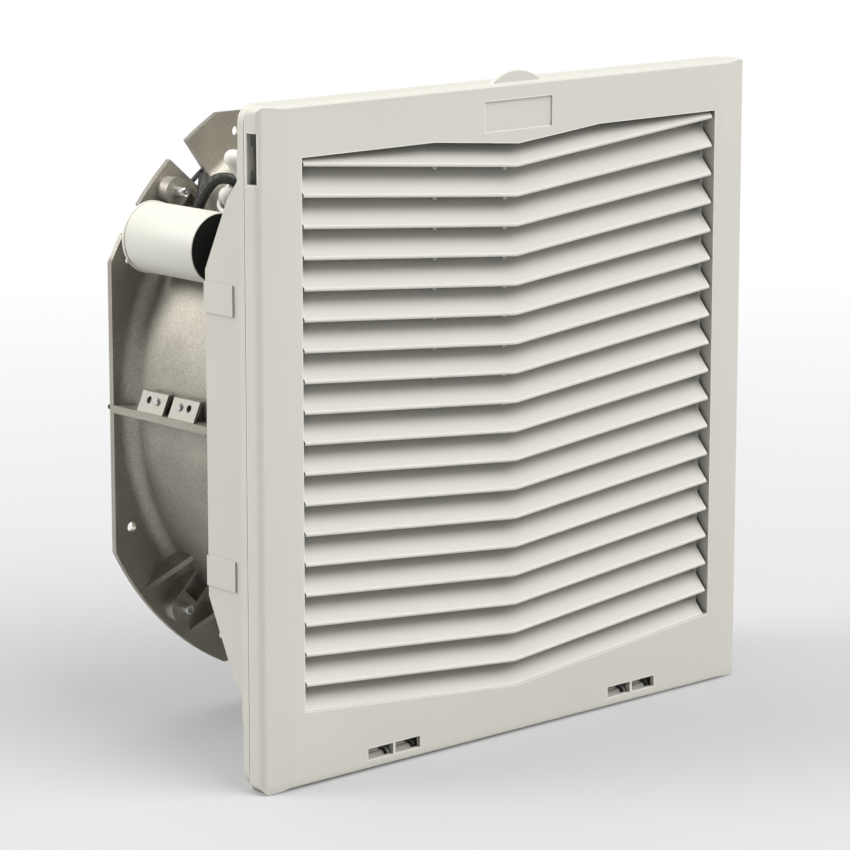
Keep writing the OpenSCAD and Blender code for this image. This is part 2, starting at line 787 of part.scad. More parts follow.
// Hinged front cover with its louvres
module grille_cover() {
  color("#d6d6ce") difference() {
    union() {
      intersection() {
        translate([0, 0, -half_w]) linear_extrude(frame_w) cover_plan(0);
        along_x(-half_w, half_w) cover_side();
        along_y(-face_y, 0) round_square(frame_w, frame_w, cover_corner_r);
        difference() {
          translate([-half_w, -face_y, -half_w]) cube([frame_w, face_y, frame_w]);
          difference() {
            translate([0, 0, cover_bottom + cover_wall]) linear_extrude(frame_w - 2 * cover_wall)
              cover_plan(cover_wall);
            along_y(-face_y, -collar_back) opening_outline(collar_wall);
            translate([0, hinge_y, hinge_z]) bar(bead_r, -half_w, half_w);
          }
          along_y(-face_y - over, over) opening_outline(0);
        }
      }
      difference() {
        along_y(-face_y + cover_wall, -collar_back) opening_outline(collar_wall);
        along_y(-face_y, over) opening_outline(0);
      }
      intersection() {
        union() {
          for (k = [0 : louvre_count]) blade(louvre_top - k * louvre_pitch);
          for (s = [-1, 0, 1]) translate([s * rib_place - rib_t / 2, -collar_back - rib_depth, -half_w])
            cube([rib_t, rib_depth, frame_w]);
        }
        along_y(-face_y, -collar_back) opening_outline(collar_wall / 2);
      }
      thumb_tab();
    }
    // Plain recessed name panel
    translate([-plate_w / 2, -face_y - over, plate_z - plate_h / 2])
      cube([plate_w, plate_d + over, plate_h]);
    // Release slots in both sides
    for (s = [-1, 1]) translate([s * half_w, -edge_y + slot_w / 2 + plate_d, slot_z])
      cube([4 * cover_wall, slot_w, slot_h], center = true);
    // Hinge windows, notches for the eyes and bores for the pins
    for (s = [-1, 1], k = [-1, 1]) {
      x = s * window_place + k * window_step / 2 - window_w / 2;
      translate([x, -face_y - over, window_z]) cube([window_w, 2 * cover_wall, window_h]);
      translate([x, hinge_y, hinge_z]) rotate([0, 90, 0]) cylinder(r = notch_r, h = window_w);
    }
    hinge_pin_pair(over);
  }
}

module hinge_pin_pair(past) {
  for (s = [-1, 1])
    translate([s * window_place, hinge_y, hinge_z])
      bar(pin_r, -pair_w / 2 - pin_hold, pair_w / 2 + pin_hold);
}

// Steel pins held in the bead of the cover
module hinge_pins() {
  color("#b9bcbe") hinge_pin_pair(0);
}

// Clips on the flange: an eye around the pin under a stack of thin ribs
module hinge_clips() {
  step = (window_z + window_h - hinge_z - eye_r) / (clip_ribs + 1);
  color("#efeee8") for (s = [-1, 1], k = [-1, 1]) {
    x = s * window_place + k * window_step / 2;
    difference() {
      union() {
        along_x(x - eye_w / 2, x + eye_w / 2) {
          translate([hinge_y, hinge_z]) circle(eye_r);
          translate([hinge_y, hinge_z - foot_drop])
            square([-flange_t - hinge_y, eye_r + foot_drop]);
          translate([-flange_t - foot_t, hinge_z])
            square([foot_t, window_z + window_h - hinge_z]);
        }
        for (i = [1 : clip_ribs])
          translate([x - eye_w / 2, -clip_rib_y, hinge_z + eye_r + i * step - clip_rib_t / 2])
            cube([eye_w * clip_rib_w_share, clip_rib_y - flange_t, clip_rib_t]);
      }
      translate([x, hinge_y, hinge_z]) bar(pin_r + pin_clear, -eye_w, eye_w);
    }
  }
}

// Sprung latch arm with a ramped nose that grips behind the panel
module panel_latch(sx, sz) {
  x_in = latch_x - latch_t / 2;
  x_out = latch_x + latch_t / 2;
  color("#dcdbd3") mirror([sx < 0 ? 1 : 0, 0, 0])
    translate([0, 0, sz * latch_place - latch_w / 2]) difference() {
      linear_extrude(latch_w) {
        polygon([
          [x_in, latch_front], [x_out, latch_front],
          [hood_half + latch_nose, latch_front + nose_slope],
          [hood_half + latch_nose, latch_front + 2 * nose_slope],
          [x_out, latch_front + latch_ramp], [x_out, latch_pin_y], [x_in, latch_pin_y]
        ]);
        translate([latch_x, latch_pin_y]) circle(latch_knuckle_r);
      }
      translate([latch_x, latch_pin_y, -over])
        cylinder(r = latch_pin_r + pin_clear, h = latch_w + 2 * over);
    }
}

module latch_left_top() { panel_latch(-1, 1); }
module latch_left_bottom() { panel_latch(-1, -1); }
module latch_right_top() { panel_latch(1, 1); }
module latch_right_bottom() { panel_latch(1, -1); }

module latch_pins() {
  color("#b9bcbe") for (sx = [-1, 1], sz = [-1, 1]) latch_pin(sx, sz, latch_pin_r);
}

module flange_outline() {
  intersection() {
    square([fan_w, fan_w], center = true);
    circle(fan_round_r, $fn = 180);
  }
}

// Gaps in the rear flange that let the leads through
module corner_gaps() {
  for (rows = [slot_shares, ear_shares])
    polygon([for (q = rows) let (r = duct_out + q[1] * (fan_round_r - duct_out)) [r * cos(q[0]), r * sin(q[0])]]);
}

// Duct wall that flares into the rear flange
module duct_wall_ring() {
  rotate([-90, 0, 0]) rotate_extrude($fn = 180) {
    translate([duct_r, fan_front]) square([duct_wall, fan_depth - fan_flange_t - flare_r]);
    intersection() {
      flare_section(flare_r + fan_flange_t, flare_r);
      translate([duct_r, rear_face - flare_r]) square([flare_place + over / 2 - duct_r, fan_depth]);
    }
  }
}

module flare_section(r_out, r_in) {
  translate([flare_place, rear_face - flare_r]) difference() {
    circle(r_out, $fn = 64);
    circle(r_in, $fn = 64);
  }
}

// Air space inside the duct and its flare
module duct_air() {
  rod(duct_r, fan_front - over, rear_face - flare_r + over / 2);
  rotate([-90, 0, 0]) rotate_extrude($fn = 180) difference() {
    translate([0, rear_face - flare_r]) square([flare_place, flare_r + fan_flange_t + over]);
    translate([flare_place, rear_face - flare_r]) circle(flare_r + fan_flange_t, $fn = 64);
  }
}

module gusset() {
  linear_extrude(gusset_t, center = true)
    polygon([
      [duct_r, rear_face - gusset_h], [fan_round_r - gusset_tip, rear_face],
      [fan_round_r - gusset_tip, rear_face + over], [duct_r, rear_face + over]
    ]);
}

// Boss drawn out to the duct, hollow inside its rim
module corner_boss() {
  difference() {
    union() {
      translate([screw_place, 0, 0]) rod(boss_r, rear_face - boss_h, rear_face + over);
      translate([duct_mid, rear_face - boss_h, -boss_r])
        cube([screw_place - duct_mid, boss_h + over, 2 * boss_r]);
    }
    translate([duct_r, rear_face - boss_h - over, boss_wall - boss_r])
      cube([screw_place - boss_r - duct_r, boss_h + over, 2 * (boss_r - boss_wall)]);
  }
}

module at_earth() {
  rotate([0, -earth_angle, 0]) translate([duct_out + earth_out, 0, 0]) children();
}

// Cast fan body: two flanges, the duct, webs, bosses and gussets
module fan_housing() {
  color("#8d8a80") difference() {
    union() {
      along_y(fan_front, fan_front + fan_flange_t) flange_outline();
      along_y(rear_face, fan_back) flange_outline();
      duct_wall_ring();
      for (a = sides) rotate([0, a, 0])
        translate([duct_mid, fan_front, -web_t / 2])
          cube([fan_half - duct_mid, fan_depth - fan_flange_t / 2, web_t]);
      for (a = diagonals) rotate([0, a, 0]) {
        corner_boss();
        if (a != 225) for (s = [-1, 1]) translate([0, 0, s * gusset_place]) gusset();
      }
    }
    duct_air();
    along_y(fan_back - gap_depth, fan_back + over) corner_gaps();
    on_corners(screw_place) rod(screw_r, fan_front - over, fan_back + over);
    for (q = sides, f = fixing_holes) rotate([0, -q - f[0], 0])
      translate([f[1], 0, 0]) rod(fixing_r, rear_face - over, fan_back + over);
    translate([foot_hole_x, 0, foot_hole_z]) rod(foot_screw_r, rear_face - over, fan_back + over);
    at_earth() rod(earth_r, rear_face - over, fan_back + over);
  }
}

// Screws that hold the fan to the hood, heads on the rear of the front flange
module housing_screws() {
  seat = fan_front + fan_flange_t;
  color("#a9abab") on_corners(screw_place) {
    rod(screw_head_r, seat, seat + screw_head_h);
    rod(screw_r, hood_depth - frame_boss_len + over, seat);
  }
}

// Bent sheet saddles on the left web, drilled for cable ties
module saddle_places() {
  for (k = [0, 1]) translate([0, fan_front + fan_flange_t + saddle_start + k * (saddle_len + saddle_gap), 0])
    children();
}

module saddle_outline(t) {
  base = web_t / 2;
  polygon([
    [-saddle_out + t, base], [-saddle_out + saddle_lean + t, base + saddle_h - t],
    [-saddle_out + saddle_lean + saddle_ridge - t / 2, base + saddle_h - t], [-saddle_in - t, base]
  ]);
}

module saddle_holes(r, x0, x1) {
  for (s = [0, 1]) translate([0, s * saddle_hole_place, 0]) translate([0, 0, web_t / 2 + saddle_hole_z])
    bar(r, x0, x1);
}

module cable_saddles() {
  color("#a5a398") saddle_places() difference() {
    along_y(0, saddle_len) saddle_outline(0);
    along_y(-over, saddle_len + over) saddle_outline(saddle_t);
    translate([0, (saddle_len - saddle_hole_place) / 2, 0])
      saddle_holes(saddle_hole_r, -saddle_out - over, -saddle_out + saddle_lean + saddle_ridge / 2);
  }
}

// Rivets in the two inner saddle holes
module saddle_rivets() {
  color("#bdbbb2") for (k = [0, 1])
    translate([0, fan_front + fan_flange_t + saddle_start + k * (saddle_len + saddle_gap), 0])
      translate([0, (saddle_len - saddle_hole_place) / 2 + (1 - k) * saddle_hole_place, web_t / 2 + saddle_hole_z])
        bar(saddle_hole_r, -saddle_out + saddle_lean / 4, -saddle_out + saddle_lean + saddle_ridge / 4);
}

// Welded wire guard that also carries the motor
module rear_guard() {
  color("#3c3d3e") difference() {
    union() {
      for (k = [0 : guard_rings - 1])
        tube(guard_r - k * guard_step + guard_wire / 2, guard_r - k * guard_step - guard_wire / 2, fan_back, guard_back);
      for (k = [0 : guard_spokes - 1]) rotate([0, k * 360 / guard_spokes, 0])
        translate([guard_plate_r - guard_wire, guard_back - weld, -guard_wire / 2])
          cube([guard_r - guard_plate_r + 1.5 * guard_wire, guard_wire, guard_wire]);
      rod(guard_plate_r, fan_back, fan_back + guard_plate_t);
      for (a = diagonals) rotate([0, a, 0])
        translate([guard_r, fan_back, -tab_w / 2])
          cube([screw_place - guard_r + tab_end, guard_plate_t, tab_w]);
    }
    on_corners(screw_place) rod(screw_r, fan_back - over, guard_back + over);
    on_corners(motor_screw_place) rod(motor_screw_r, fan_back - over, guard_back + over);
  }
}

// Screws through the guard tabs, their ends standing out of the bosses
module guard_screws() {
  seat = fan_back + guard_plate_t;
  color("#c3c5c5") for (a = diagonals) rotate([0, a, 0]) translate([screw_place, 0, 0]) {
    rod(screw_head_r, seat, seat + screw_head_h);
    rod(screw_r, rear_face - boss_h - screw_end, seat);
  }
}

// Die cast disc and bearing tube that carry the stator
module motor_flange() {
  color("#9b9c9c") difference() {
    union() {
      rod(motor_disc_r, disc_front, fan_back);
      rod(tube_r, bearing_front_y, fan_back - over);
    }
    rod(bearing_r, bearing_front_y - over, disc_front + motor_disc_t / 2);
    on_corners(motor_screw_place) rod(motor_screw_r, disc_front - over, fan_back + over);
    rotate([0, -lead_angle, 0])
      translate([motor_disc_r - lead_notch_depth, disc_front - over, -sleeve_r - fit])
        cube([lead_notch_depth + over, motor_disc_t + 2 * over, 2 * (sleeve_r + fit)]);
  }
}

module motor_screws() {
  color("#c3c5c5") on_corners(motor_screw_place) {
    rod(motor_head_r, fan_back + guard_plate_t, fan_back + guard_plate_t + motor_screw_r);
    rod(motor_screw_r, disc_front, fan_back + guard_plate_t);
  }
}

module stator_core() {
  color("#6f7072") tube(core_r, tube_r, core_front, core_back);
}

// Closed ring of copper at each end of the core
module stator_winding() {
  inner = tube_r + winding_inset;
  outer = core_r - winding_inset;
  color("#a9612f") {
    tube(outer, inner, core_front - winding_t, core_front);
    tube(outer, inner, core_back, core_back + winding_t);
  }
}

module bearing_front() {
  color("#b4b7ba") tube(bearing_r, shaft_r + shaft_clear, bearing_front_y, bearing_front_y + bearing_w);
}

module bearing_rear() {
  color("#b4b7ba") tube(bearing_r, shaft_r + shaft_clear, bearing_rear_y, bearing_rear_y + bearing_w);
}

module rotor_shaft() {
  color("#c6c8ca") rod(shaft_r, rotor_front, rotor_back + rotor_run / 2);
}

// Deep drawn cup that turns around the stator
module rotor_cup() {
  color("#2b2c2e") difference() {
    rod(rotor_r, rotor_front, rotor_back);
    difference() {
      rod(rotor_r - rotor_wall, rotor_front + rotor_wall, rotor_back + over);
      rod(hub_r, rotor_front, rotor_front + rotor_wall + hub_len);
    }
    rod(shaft_r, rotor_front - over, rotor_back);
  }
}

module rotor_cage() {
  color("#77787a") tube(rotor_r - rotor_wall, rotor_r - rotor_wall - cage_t, core_front, core_back);
}

// Cambered sheet blade, cut to the hub band and the tip circle
module impeller_blade() {
  intersection() {
    rotate([impeller_pitch_angle, 0, 0]) intersection() {
      translate([0, impeller_camber_r, 0]) difference() {
        bar(impeller_camber_r, 0, impeller_r);
        bar(impeller_camber_r - impeller_blade_t, -over, impeller_r + over);
      }
      translate([0, -over, -impeller_chord / 2]) cube([impeller_r, 2 * over + 2 * camber_h, impeller_chord]);
    }
    tube(impeller_r, carrier_out - impeller_blade_t / 2, -impeller_chord, impeller_chord);
  }
}

module impeller() {
  color("#26272a") {
    tube(carrier_out, rotor_r, carrier_y - carrier_len / 2, carrier_y + carrier_len / 2);
    for (k = [0 : impeller_blades - 1]) rotate([0, k * 360 / impeller_blades, 0])
      translate([0, carrier_y - camber_h / 2, 0]) impeller_blade();
  }
}

// Capacitor, axis along Y, sealed black end to the front
module capacitor_can() {
  color("#efefec") translate([cap_x, 0, cap_z]) {
    difference() {
      rod(cap_r, cap_front, cap_back);
      rod(cap_r - cap_rim, cap_front - over, cap_front + cap_seal_d);
    }
    rod(stud_r, cap_back, cap_back + stud_len);
  }
}

module capacitor_seal() {
  color("#0b0b0b") translate([cap_x, 0, cap_z]) difference() {
    rod(cap_r - cap_rim, cap_front + cap_seal_gap, cap_front + cap_seal_d);
    for (q = hole_shares) translate([q[0] * cap_r, 0, q[1] * cap_r]) rod(lead_r + fit, cap_front, cap_front + cap_seal_d / 2);
  }
}

module capacitor_washer() {
  color("#f4f4f0") translate([cap_x, 0, cap_z]) {
    tube(cap_r + washer_out, stud_r, cap_back, cap_back + washer_t);
    rotate([0, -nub_angle, 0]) translate([cap_r + washer_out, 0, 0]) rod(nub_r, cap_back, cap_back + washer_t);
  }
}

// Sheet bracket behind the can, folded back to the flange and under itself
module capacitor_bracket() {
  x0 = cap_x - bracket_left;
  x1 = cap_x + bracket_right;
  z1 = cap_z + bracket_up;
  color("#a9abab") difference() {
    union() {
      translate([x0, plate_y, cap_z - bracket_down]) cube([x1 - x0, bracket_t, bracket_down + bracket_up]);
      translate([x1 - bracket_t, plate_y, z1 - foot_h]) cube([bracket_t, rear_face - plate_y, foot_h]);
      translate([x1 - foot_w, rear_face - bracket_t, z1 - foot_h]) cube([foot_w, bracket_t, foot_h]);
    }
    translate([cap_x, 0, cap_z]) rod(stud_r, plate_y - over, plate_y + bracket_t + over);
    translate([foot_hole_x, 0, foot_hole_z]) rod(foot_screw_r, rear_face - bracket_t - over, rear_face + over);
  }
}

module capacitor_nut() {
  y0 = plate_y + bracket_t;
  color("#b9bcbe") translate([cap_x, y0, cap_z]) rotate([-90, 0, 0]) difference() {
    cylinder(r = nut_r, h = nut_t, $fn = 6);
    translate([0, 0, -over]) cylinder(r = stud_r, h = nut_t + 2 * over);
  }
}

module bracket_screw() {
  color("#b9bcbe") translate([foot_hole_x, 0, foot_hole_z]) {
    rod(foot_head_r, fan_back, fan_back + foot_screw_r);
    rod(foot_screw_r, rear_face - bracket_t, fan_back);
  }
}

// Straight up from the duct at the angle of the lead cup
module at_cup() {
  rotate([0, -cup_angle, 0]) translate([0, cup_y, 0]) children();
}

// White cup on the duct, open outwards
module lead_cup() {
  color("#f2f2ee") difference() {
    at_cup() difference() {
      bar(cup_r, duct_r, cup_end);
      bar(cup_r - cup_wall, duct_out + cup_floor, cup_end + over);
    }
    rod(duct_out + seat_gap, fan_front, fan_back);
  }
}

// Closed crimp caps standing in the cup, one short and one long
module splice_caps() {
  start = duct_out + cup_floor;
  color("#f7f7f4") at_cup() for (q = splices) translate([0, q[0] * cup_r, q[1] * cup_r]) {
    bar(splice_r, start, start + q[2] - splice_r);
    translate([start + q[2] - splice_r, 0, 0]) sphere(splice_r);
  }
}

// Smooth tube through hand chosen points, as rings joined by triangles
function unit(v) = v / norm(v);
function curve_point(p, i, t) =
  let (a = p[max(i - 1, 0)], b = p[i], c = p[i + 1], d = p[min(i + 2, len(p) - 1)])
  b + (c - a) * t / 2 + (2 * a - 5 * b + 4 * c - d) * t * t / 2
    + (3 * b - a - 3 * c + d) * t * t * t / 2;
function smooth(p, n) = concat(
  [for (i = [0 : len(p) - 2], k = [0 : n - 1]) curve_point(p, i, k / n)], [p[len(p) - 1]]);
function heading(c, i) = unit(c[min(i + 1, len(c) - 1)] - c[max(i - 1, 0)]);

module lead(points, r, n) {
  c = smooth(points, n);
  m = 8;
  last = len(c) - 1;
  rings = [for (i = [0 : last]) let (h = heading(c, i), u = unit(cross(h, [0.35, 0.25, 0.9])), v = cross(h, u))
    for (k = [0 : m - 1]) c[i] + r * (u * cos(360 * k / m) + v * sin(360 * k / m))];
  walls = [for (i = [0 : last - 1], k = [0 : m - 1]) let (a = i * m + k, b = i * m + (k + 1) % m)
    each [[a, a + m, b], [b, a + m, b + m]]];
  ends = [for (k = [1 : m - 2]) each [[0, k, k + 1], [last * m, last * m + k + 1, last * m + k]]];
  polyhedron(points = rings, faces = concat(walls, ends));
}

// Point at an angle around the fan axis, a radius and a depth
function around(angle, r, y) = [r * cos(angle), y, r * sin(angle)];

// Motor lead: radius from the motor disc to the duct, depth from the cup to the fan back
function motor_point(q) =
  around(q[0], motor_disc_r + q[1] * (duct_out - motor_disc_r), cup_y + q[2] * (fan_back - cup_y));

// Capacitor leads: radius outside the duct, depth between the capacitor front and the cup
function seal_point(q, s) = [cap_x + q[0] * cap_r, cap_front + s * cap_r, cap_z + q[1] * cap_r];
function cap_point(q) =
  around(q[0], duct_out + q[1] * cap_r, cap_front + q[2] * (cup_y - cap_front) + q[3] * cap_r);

// Sleeved lead from the motor, over the guard rings, through the corner gap
module motor_lead() {
  color("#17181a") lead([for (q = motor_route_shares) motor_point(q)], sleeve_r, 2);
}

module capacitor_leads() {
  color("#17181a") {
    for (k = [0, 1]) lead(concat(
      [for (s = seal_shares[k]) seal_point(hole_shares[k], s)],
      [for (q = cap_route_shares[k]) cap_point(q)]), lead_r, 2);
  }
}

// Earthing screw on the right of the rear flange
module earth_screw() {
  color("#b08d3c") at_earth() {
    rod(earth_head_r, rear_face - earth_head_h, rear_face);
    rod(earth_r, rear_face, fan_back + earth_head_h);
  }
}

mounting_frame();
panel_gasket();
mat_grid();
filter_mat();
grille_cover();
hinge_pins();
hinge_clips();
latch_left_top();
latch_left_bottom();
latch_right_top();
latch_right_bottom();
latch_pins();
fan_housing();
housing_screws();
cable_saddles();
saddle_rivets();
rear_guard();
guard_screws();
motor_flange();
motor_screws();
stator_core();
stator_winding();
bearing_front();
bearing_rear();
rotor_shaft();
rotor_cup();
rotor_cage();
impeller();
capacitor_can();
capacitor_seal();
capacitor_washer();
capacitor_bracket();
capacitor_nut();
bracket_screw();
lead_cup();
motor_lead();
capacitor_leads();
splice_caps();
earth_screw();
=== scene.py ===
import math

import bpy
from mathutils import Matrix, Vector, noise


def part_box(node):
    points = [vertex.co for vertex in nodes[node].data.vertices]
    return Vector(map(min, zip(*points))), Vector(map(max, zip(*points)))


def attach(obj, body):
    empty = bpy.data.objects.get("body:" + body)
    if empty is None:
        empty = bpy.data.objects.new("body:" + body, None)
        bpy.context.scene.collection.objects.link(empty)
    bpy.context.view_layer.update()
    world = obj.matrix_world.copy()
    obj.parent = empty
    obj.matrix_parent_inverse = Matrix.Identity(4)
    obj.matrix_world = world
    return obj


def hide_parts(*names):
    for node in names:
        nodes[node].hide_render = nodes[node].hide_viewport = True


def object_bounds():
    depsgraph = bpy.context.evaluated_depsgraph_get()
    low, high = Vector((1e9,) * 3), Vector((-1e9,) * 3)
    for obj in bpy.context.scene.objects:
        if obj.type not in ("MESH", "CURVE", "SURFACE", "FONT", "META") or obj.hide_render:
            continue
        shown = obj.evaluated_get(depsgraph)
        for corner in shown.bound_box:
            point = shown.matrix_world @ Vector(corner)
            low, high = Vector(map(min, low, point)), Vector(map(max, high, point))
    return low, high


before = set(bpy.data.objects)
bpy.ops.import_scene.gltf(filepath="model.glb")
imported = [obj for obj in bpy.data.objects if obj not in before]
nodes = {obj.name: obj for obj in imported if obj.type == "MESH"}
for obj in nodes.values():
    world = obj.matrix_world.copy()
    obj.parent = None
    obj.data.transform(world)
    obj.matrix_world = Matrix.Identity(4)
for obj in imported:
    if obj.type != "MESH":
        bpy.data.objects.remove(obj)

cad_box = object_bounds()
mm = 0.001

# Camera
# The photograph was taken from the front left, a little above the fan, with a long lens.
# Place, turn and focal length come from a fit to the edges of the cover and the fan.
yaw, pitch = math.radians(42.46), math.radians(11.57)
sensor_mm, focal_pixels, frame_pixels = 36, 3698, 850
lens = bpy.data.cameras.new("camera")
lens.sensor_width = sensor_mm
lens.lens = sensor_mm * focal_pixels / frame_pixels
lens.clip_end = 60
camera = bpy.data.objects.new("camera", lens)
bpy.context.scene.collection.objects.link(camera)
camera.location = (-1.2241, -1.2871, 0.3549)
forward = Vector((math.sin(yaw) * math.cos(pitch), math.cos(yaw) * math.cos(pitch), -math.sin(pitch)))
camera.rotation_euler = forward.to_track_quat("-Z", "Y").to_euler()
bpy.context.scene.camera = camera


# Studio
# A lit white sweep under and behind the part, with broad soft light from above, from the upper
# right front, from the front and from the left rear.
def linear(code):
    """sRGB hex colour as linear values."""
    parts = [int(code[i : i + 2], 16) / 255 for i in (1, 3, 5)]
    return [c / 12.92 if c <= 0.04045 else ((c + 0.055) / 1.055) ** 2.4 for c in parts] + [1]


def add(mat, kind, settings=(), **links):
    """A shader node with its settings and its inputs linked from other sockets.

    An input that goes by its number, as i6, is one whose name another input of the node has too.
    """
    made = mat.node_tree.nodes.new(kind)
    for key, value in dict(settings).items():
        if isinstance(key, str) and hasattr(made, key):
            setattr(made, key, value)
        else:
            made.inputs[key].default_value = value
    for key, socket in links.items():
        numbered = key[0] == "i" and key[1:].isdigit()
        mat.node_tree.links.new(socket, made.inputs[int(key[1:]) if numbered else key])
    return made


def new_material(name):
    """A material with no nodes yet."""
    mat = bpy.data.materials.new(name)
    mat.use_nodes = True
    mat.node_tree.nodes.clear()
    return mat


def finish_material(mat, shader):
    """Gives the material its output, with this shader as its surface."""
    out = add(mat, "ShaderNodeOutputMaterial")
    mat.node_tree.links.new(shader.outputs[0], out.inputs["Surface"])
    return mat


floor_width, floor_gap = 30, 0.4 * mm
bpy.ops.object.select_all(action="DESELECT")
bpy.ops.mesh.primitive_plane_add(size=floor_width, location=(0, 0, cad_box[0][2] - floor_gap))
floor = bpy.context.object
floor.name = "studio_floor"
# White paper that glows with painted light: dull, dimmer near the part and brighter with the distance from
# it, in metres
paper = new_material("white studio paper, painted glow")
place = add(paper, "ShaderNodeTexCoord").outputs["Object"]
away = add(paper, "ShaderNodeVectorMath", {"operation": "LENGTH"}, i0=place)
glow = add(paper, "ShaderNodeMapRange", {
    "From Min": 0.15, "From Max": 1.6, "To Min": 0.26, "To Max": 0.5}, Value=away.outputs["Value"])
finish_material(paper, add(paper, "ShaderNodeBsdfPrincipled", {
    "Base Color": linear("#8c8c8c"), "Roughness": 0.95, "Emission Color": (1, 1, 1, 1)},
    **{"Emission Strength": glow.outputs[0]}))
floor.data.materials.append(paper)

# The sky is bright up to 6 degrees above the horizon and dim from 17 degrees up, so nothing dark
# stands behind the part in a level view
world = bpy.context.scene.world or bpy.data.worlds.new("studio")
bpy.context.scene.world = world
world.use_nodes = True
sky = world.node_tree.nodes
height = sky.new("ShaderNodeSeparateXYZ")
band = sky.new("ShaderNodeMapRange")
for key, value in (("From Min", 0.1), ("From Max", 0.3), ("To Min", 0.9), ("To Max", 0.03)):
    band.inputs[key].default_value = value
world.node_tree.links.new(sky.new("ShaderNodeTexCoord").outputs["Generated"], height.inputs[0])
world.node_tree.links.new(height.outputs["Z"], band.inputs["Value"])
world.node_tree.links.new(band.outputs[0], sky["Background"].inputs["Strength"])
sky["Background"].inputs["Color"].default_value = (1, 1, 1, 1)
bpy.context.scene.view_settings.view_transform = "Standard"

# Each lamp: the direction towards it, how wide it looks in degrees, and its strength
for name, toward, spread, power in (
    ("top", (-0.1, 0.2, 1), 50, 1.9),
    ("upper right front", (0.25, -0.65, 0.95), 50, 3.5),
    ("front", (0.3, -1, 0.1), 50, 0.25),
    ("left rear", (-0.8, 0.6, 0.6), 30, 2.2),
):
    data = bpy.data.lights.new(name, "SUN")
    data.angle = math.radians(spread)
    data.energy = power
    lamp = bpy.data.objects.new(name, data)
    lamp.rotation_euler = (-Vector(toward)).to_track_quat("-Z", "Y").to_euler()
    bpy.context.scene.collection.objects.link(lamp)


# Cover
# One injection moulding in warm light grey ABS: the louvres, the rim and the bead of the hinge.
# It is fine textured on its face, with painted shade in its narrow gaps and a painted highlight on its
# edges.
def moulded(name, colour, grain=0.9, crevice=0):
    """Moulded plastic or smooth paint.

    It has the slow cloudiness of the melt and the fine texture of the tool. The grain is the width
    of that texture in millimetres, drawn coarser than real so that it shows. Where a crevice depth
    is given, shade is painted into the narrow gaps and a highlight is painted on the edges.
    """
    mat = new_material(name)
    place = add(mat, "ShaderNodeTexCoord").outputs["Object"]
    # 14 clouds a metre: 70 mm wide
    cloud = add(mat, "ShaderNodeTexNoise", {"Scale": 14, "Detail": 3}, Vector=place)
    tint = add(mat, "ShaderNodeMapRange", {"To Min": 0.965, "To Max": 1.03}, Value=cloud.outputs["Fac"])
    paint = add(mat, "ShaderNodeMix", {
        "data_type": "RGBA", "blend_type": "MULTIPLY", 0: 1, 6: linear(colour)}, i7=tint.outputs[0])
    if crevice:
        # Painted shade: the colour darkens where ambient occlusion finds the surface closed in, as in the
        # slots under the louvres
        open_sky = add(mat, "ShaderNodeAmbientOcclusion", {"Distance": crevice, "samples": 8})
        painted_crevice_shade = add(mat, "ShaderNodeMapRange", {
            "From Min": 0.18, "From Max": 0.62, "To Min": 0.12, "To Max": 1.0}, Value=open_sky.outputs["AO"])
        paint = add(mat, "ShaderNodeMix", {
            "data_type": "RGBA", "blend_type": "MULTIPLY", 0: 1}, i6=paint.outputs[2], i7=painted_crevice_shade.outputs[0])
        # Painted highlight: where the bevelled normal turns away from the true one, at the edges, the colour
        # is mixed towards pale
        rounded = add(mat, "ShaderNodeBevel", {"samples": 6, "Radius": 1.1 * mm})
        facing = add(mat, "ShaderNodeNewGeometry").outputs["Normal"]
        turn = add(mat, "ShaderNodeVectorMath", {
            "operation": "DOT_PRODUCT"}, i0=rounded.outputs[0], i1=facing)
        painted_edge_highlight = add(mat, "ShaderNodeMapRange", {
            "From Min": 0.995, "From Max": 0.9, "To Min": 0, "To Max": 0.55}, Value=turn.outputs["Value"])
        paint = add(mat, "ShaderNodeMix", {
            "data_type": "RGBA", 7: linear("#f2f1ea")}, i0=painted_edge_highlight.outputs[0], i6=paint.outputs[2])
    spark = add(mat, "ShaderNodeTexNoise", {"Scale": 1000 / grain, "Detail": 2}, Vector=place)
    bump = add(mat, "ShaderNodeBump", {"Strength": 0.12, "Distance": 0.12 * mm}, Height=spark.outputs["Fac"])
    rough = add(mat, "ShaderNodeMapRange", {"To Min": 0.42, "To Max": 0.56}, Value=spark.outputs["Fac"])
    return finish_material(mat, add(mat, "ShaderNodeBsdfPrincipled", {"IOR": 1.53},
        **{"Base Color": paint.outputs[2], "Roughness": rough.outputs[0], "Normal": bump.outputs[0]}))


def pick(*pieces):
    """Selects these pieces and nothing else, with the last one active."""
    bpy.ops.object.select_all(action="DESELECT")
    for piece in pieces:
        bpy.context.view_layer.objects.active = piece
        piece.select_set(True)


# What a CAD mesh is merged and flattened by, and the corners that get an edge
merge_gap = 0.002 * mm
flat_angle = math.radians(0.4)
sharp_angle = math.radians(35)


def dress(names, mat, edge=0):
    """Gives CAD nodes their finish and, where a width is given, a small moulded or broken edge."""
    for key in names:
        piece = nodes[key]
        piece.data.materials.clear()
        piece.data.materials.append(mat)
        if not edge:
            continue
        pick(piece)
        bpy.ops.mesh.customdata_custom_splitnormals_clear()
        bpy.ops.object.shade_smooth()
        weld = piece.modifiers.new("joined corners", "WELD")
        weld.merge_threshold = merge_gap
        flat = piece.modifiers.new("whole faces", "DECIMATE")
        flat.decimate_type = "DISSOLVE"
        flat.angle_limit = flat_angle
        round_edge = piece.modifiers.new("edge", "BEVEL")
        round_edge.width = edge
        round_edge.segments = 2
        round_edge.limit_method = "ANGLE"
        round_edge.angle_limit = sharp_angle
        piece.modifiers.new("even shading", "WEIGHTED_NORMAL").keep_sharp = True


cover_abs = moulded("light grey ABS, textured", "#bebcb3", crevice=12 * mm)
dress(["grille_cover"], cover_abs, 0.4 * mm)

